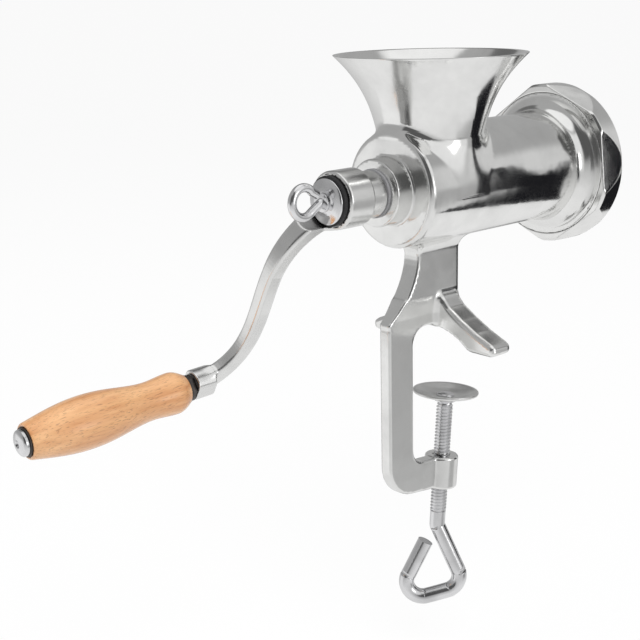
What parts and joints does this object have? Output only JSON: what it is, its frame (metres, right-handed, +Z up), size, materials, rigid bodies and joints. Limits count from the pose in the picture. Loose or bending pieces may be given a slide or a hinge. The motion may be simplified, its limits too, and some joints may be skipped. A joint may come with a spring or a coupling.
{
  "type": "hand crank meat grinder",
  "caption": "Table-clamped hand meat grinder: cast body with hopper, worm and knife inside, ring nut with hole plate, crank with wooden grip and a screw clamp.",
  "frame": {"origin": "on the table top, midway between the seats of the two feet", "axes": "+X along the worm towards the outlet, +Z up from the table, +Y across the feet"},
  "size_m": [0.3485, 0.137, 0.3321],
  "materials": {
    "cast_aluminium": "polished cast aluminium",
    "ring_aluminium": "polished cast aluminium",
    "crank_aluminium": "satin polished cast aluminium",
    "worm_aluminium": "as-cast aluminium",
    "plate_steel": "ground steel",
    "knife_steel": "ground steel",
    "pin_steel": "turned steel",
    "screw_steel": "zinc-plated steel",
    "plated_steel": "bright nickel-plated steel",
    "dark_steel": "blackened steel",
    "nylon": "white nylon",
    "bush_grey": "grey acetal",
    "black_rubber": "black rubber",
    "beech": "lacquered beech"
  },
  "bodies": {
    "body": {"cast_body": "cast_aluminium", "plate_key_pin": "pin_steel", "rear_bush": "bush_grey"},
    "crank": {"crank_arm": "crank_aluminium", "hub_seal": "black_rubber", "worm": "worm_aluminium", "knife_spindle": "pin_steel", "cutting_knife": "knife_steel", "thrust_washer": "nylon", "grip_bolt": "plated_steel", "grip_lock_nut": "dark_steel", "grip_inner_washer": "dark_steel"},
    "handle": {"grip": "beech", "grip_outer_washer": "dark_steel"},
    "crank_washer": {"cup_washer": "plated_steel"},
    "crank_bolt": {"eye_bolt": "plated_steel"},
    "clamp_pad": {"pressure_pad": "plated_steel", "pad_washer": "screw_steel"},
    "clamp_spindle": {"clamp_screw": "screw_steel"},
    "plate": {"hole_plate": "plate_steel"},
    "ring": {"ring_nut": "ring_aluminium"}
  },
  "joints": [
    {"name": "crank_turn", "type": "hinge", "parent": "body", "child": "crank", "pos_m": [-0.0079, 0, 0.0935], "axis": [1, 0, 0], "continuous": true},
    {"name": "grip_spin", "type": "hinge", "parent": "crank", "child": "handle", "pos_m": [-0.13262, 0.06598, -0.01208], "axis": [0.9978, -0.0351, 0.0562], "continuous": true},
    {"name": "crank_washer_slide", "type": "slide", "parent": "crank", "child": "crank_washer", "axis": [-1, 0, 0], "range_m": [0, 0.015]},
    {"name": "eye_bolt_turn", "type": "hinge", "parent": "crank_washer", "child": "crank_bolt", "pos_m": [-0.0979, 0, 0.0935], "axis": [-1, 0, 0], "range_deg": [0, 4326]},
    {"name": "pad_slide", "type": "slide", "parent": "body", "child": "clamp_pad", "axis": [0.0872, 0, 0.9962], "range_m": [-0.0321, 0.0181]},
    {"name": "clamp_screw_turn", "type": "hinge", "parent": "clamp_pad", "child": "clamp_spindle", "pos_m": [0.002, 0, -0.071], "axis": [0.0872, 0, 0.9962], "range_deg": [-5760, 3240]},
    {"name": "plate_slide", "type": "slide", "parent": "body", "child": "plate", "axis": [1, 0, 0], "range_m": [0, 0.0091]},
    {"name": "ring_nut_turn", "type": "hinge", "parent": "plate", "child": "ring", "pos_m": [0.1, 0, 0.0935], "axis": [1, 0, 0], "range_deg": [0, 1080]}
  ],
  "couplings": [
    {"joint": "eye_bolt_turn", "follows": "crank_washer_slide", "rad_per_m": 5026.5},
    {"joint": "pad_slide", "follows": "clamp_screw_turn", "m_per_rad": 0.00031831},
    {"joint": "plate_slide", "follows": "ring_nut_turn", "m_per_rad": 0.00047746}
  ]
}
